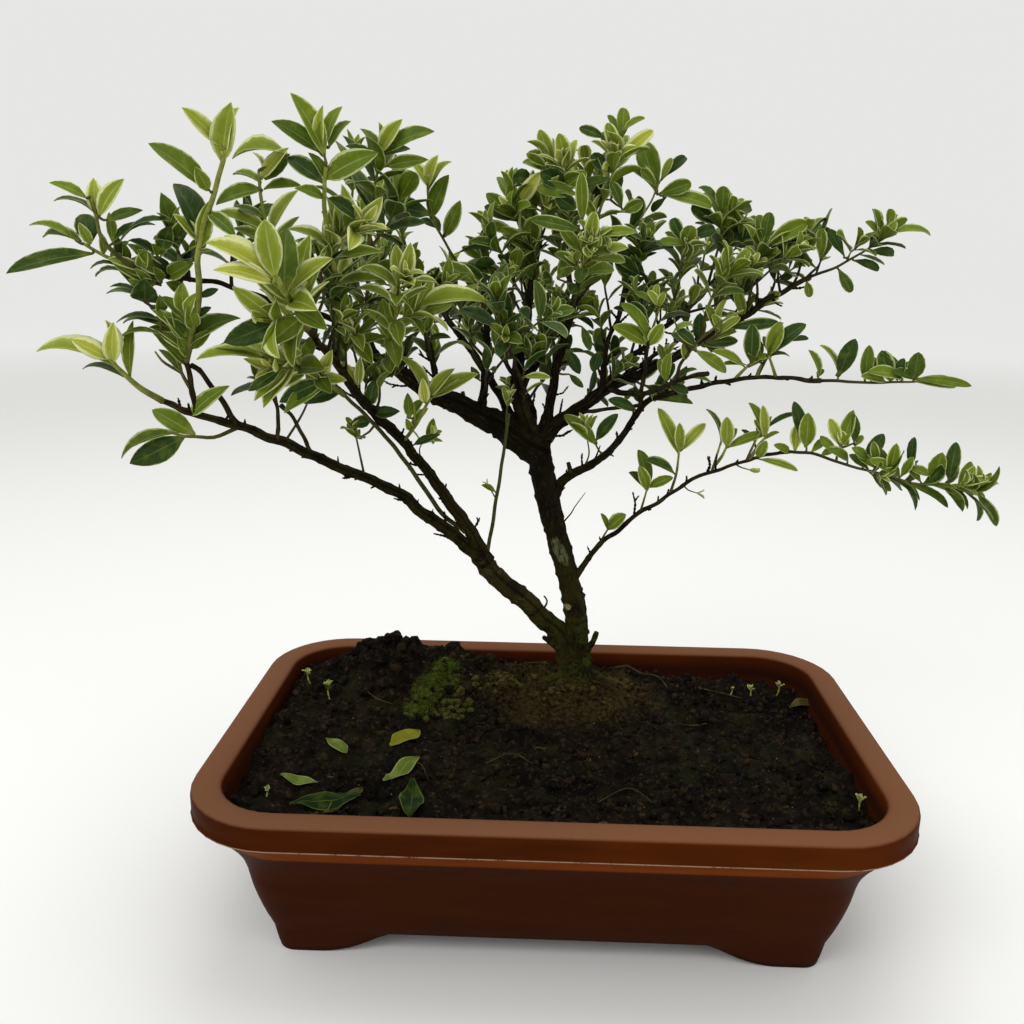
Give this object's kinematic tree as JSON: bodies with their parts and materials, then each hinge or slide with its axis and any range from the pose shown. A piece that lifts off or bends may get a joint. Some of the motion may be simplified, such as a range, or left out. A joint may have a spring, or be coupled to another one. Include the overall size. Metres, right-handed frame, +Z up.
{
  "type": "serissa bonsai",
  "caption": "Small-leaved serissa bonsai with a dark branching trunk and airy leafy sprays, growing in soil in a brown oblong plastic bonsai tray",
  "frame": {"origin": "under the middle of the whole part's bounding box in plan, on the surface that the tray's feet stand on", "axes": "+X along the long side of the tray, to the right seen from the front; +Y away from the front; +Z up"},
  "size_m": [0.3987, 0.2574, 0.3566],
  "materials": {
    "tray": "moulded brown plastic with a slight sheen",
    "soil": "loose damp dark potting soil",
    "bark": "rough flaking bark, nearly black, with pale lichen",
    "leaf_young": "soft yellow-green leaves with cream margins",
    "leaf_mature": "green leaves with thin cream margins",
    "leaf_dark": "dark green leaves with thin pale margins",
    "fallen_pale": "yellowing fallen leaf",
    "fallen_green": "green fallen leaf"
  },
  "bodies": {
    "root": {"tray": "tray", "soil": "soil", "trunk_and_limbs": "bark", "spray_far_left": "leaf_mature", "spray_left_upper": "leaf_dark", "spray_left_middle": "leaf_mature", "spray_long_left_shoot": "leaf_young", "spray_left_tip": "leaf_young", "spray_left_low": "leaf_mature", "spray_left_hanging": "leaf_dark", "spray_front_large": "leaf_young", "spray_front_low": "leaf_young", "spray_front_centre": "leaf_young", "spray_front_upper": "leaf_young", "spray_left_rear": "leaf_dark", "spray_left_top": "leaf_mature", "spray_left_top_rear": "leaf_mature", "spray_slanting": "leaf_mature", "spray_left_inner": "leaf_mature", "spray_inner_front": "leaf_young", "spray_inner_low": "leaf_young", "spray_low_light": "leaf_young", "spray_centre_left_low": "leaf_mature", "spray_centre_left": "leaf_mature", "spray_centre_upper_left": "leaf_mature", "spray_centre_top": "leaf_young", "spray_top": "leaf_young", "spray_top_right": "leaf_mature", "spray_centre_front": "leaf_young", "spray_centre_right": "leaf_dark", "spray_centre_right_low": "leaf_mature", "spray_front_left": "leaf_dark", "spray_front_right": "leaf_mature", "spray_right_rear": "leaf_mature", "spray_right_middle": "leaf_mature", "spray_right_top": "leaf_mature", "spray_right_front": "leaf_young", "spray_right_end": "leaf_mature", "spray_right_inner": "leaf_dark", "spray_right_low": "leaf_mature", "spray_right_long_end": "leaf_mature", "spray_low_right_inner": "leaf_young", "spray_low_right_first": "leaf_young", "spray_low_right_upper": "leaf_young", "spray_low_right_twig": "leaf_young", "spray_low_right_end": "leaf_mature", "spray_rear_left": "leaf_mature", "spray_rear_left_inner": "leaf_mature", "spray_back_left": "leaf_mature", "spray_back_top": "leaf_mature", "spray_back_right": "leaf_mature", "spray_back_middle": "leaf_dark", "spray_back_right_low": "leaf_dark", "fallen_leaf_pale": "fallen_pale", "fallen_leaf_yellow": "fallen_pale", "fallen_leaf_long": "fallen_pale", "fallen_leaf_dark": "fallen_green", "fallen_leaf_small": "fallen_green", "fallen_leaf_green": "fallen_green"}
  },
  "joints": []
}
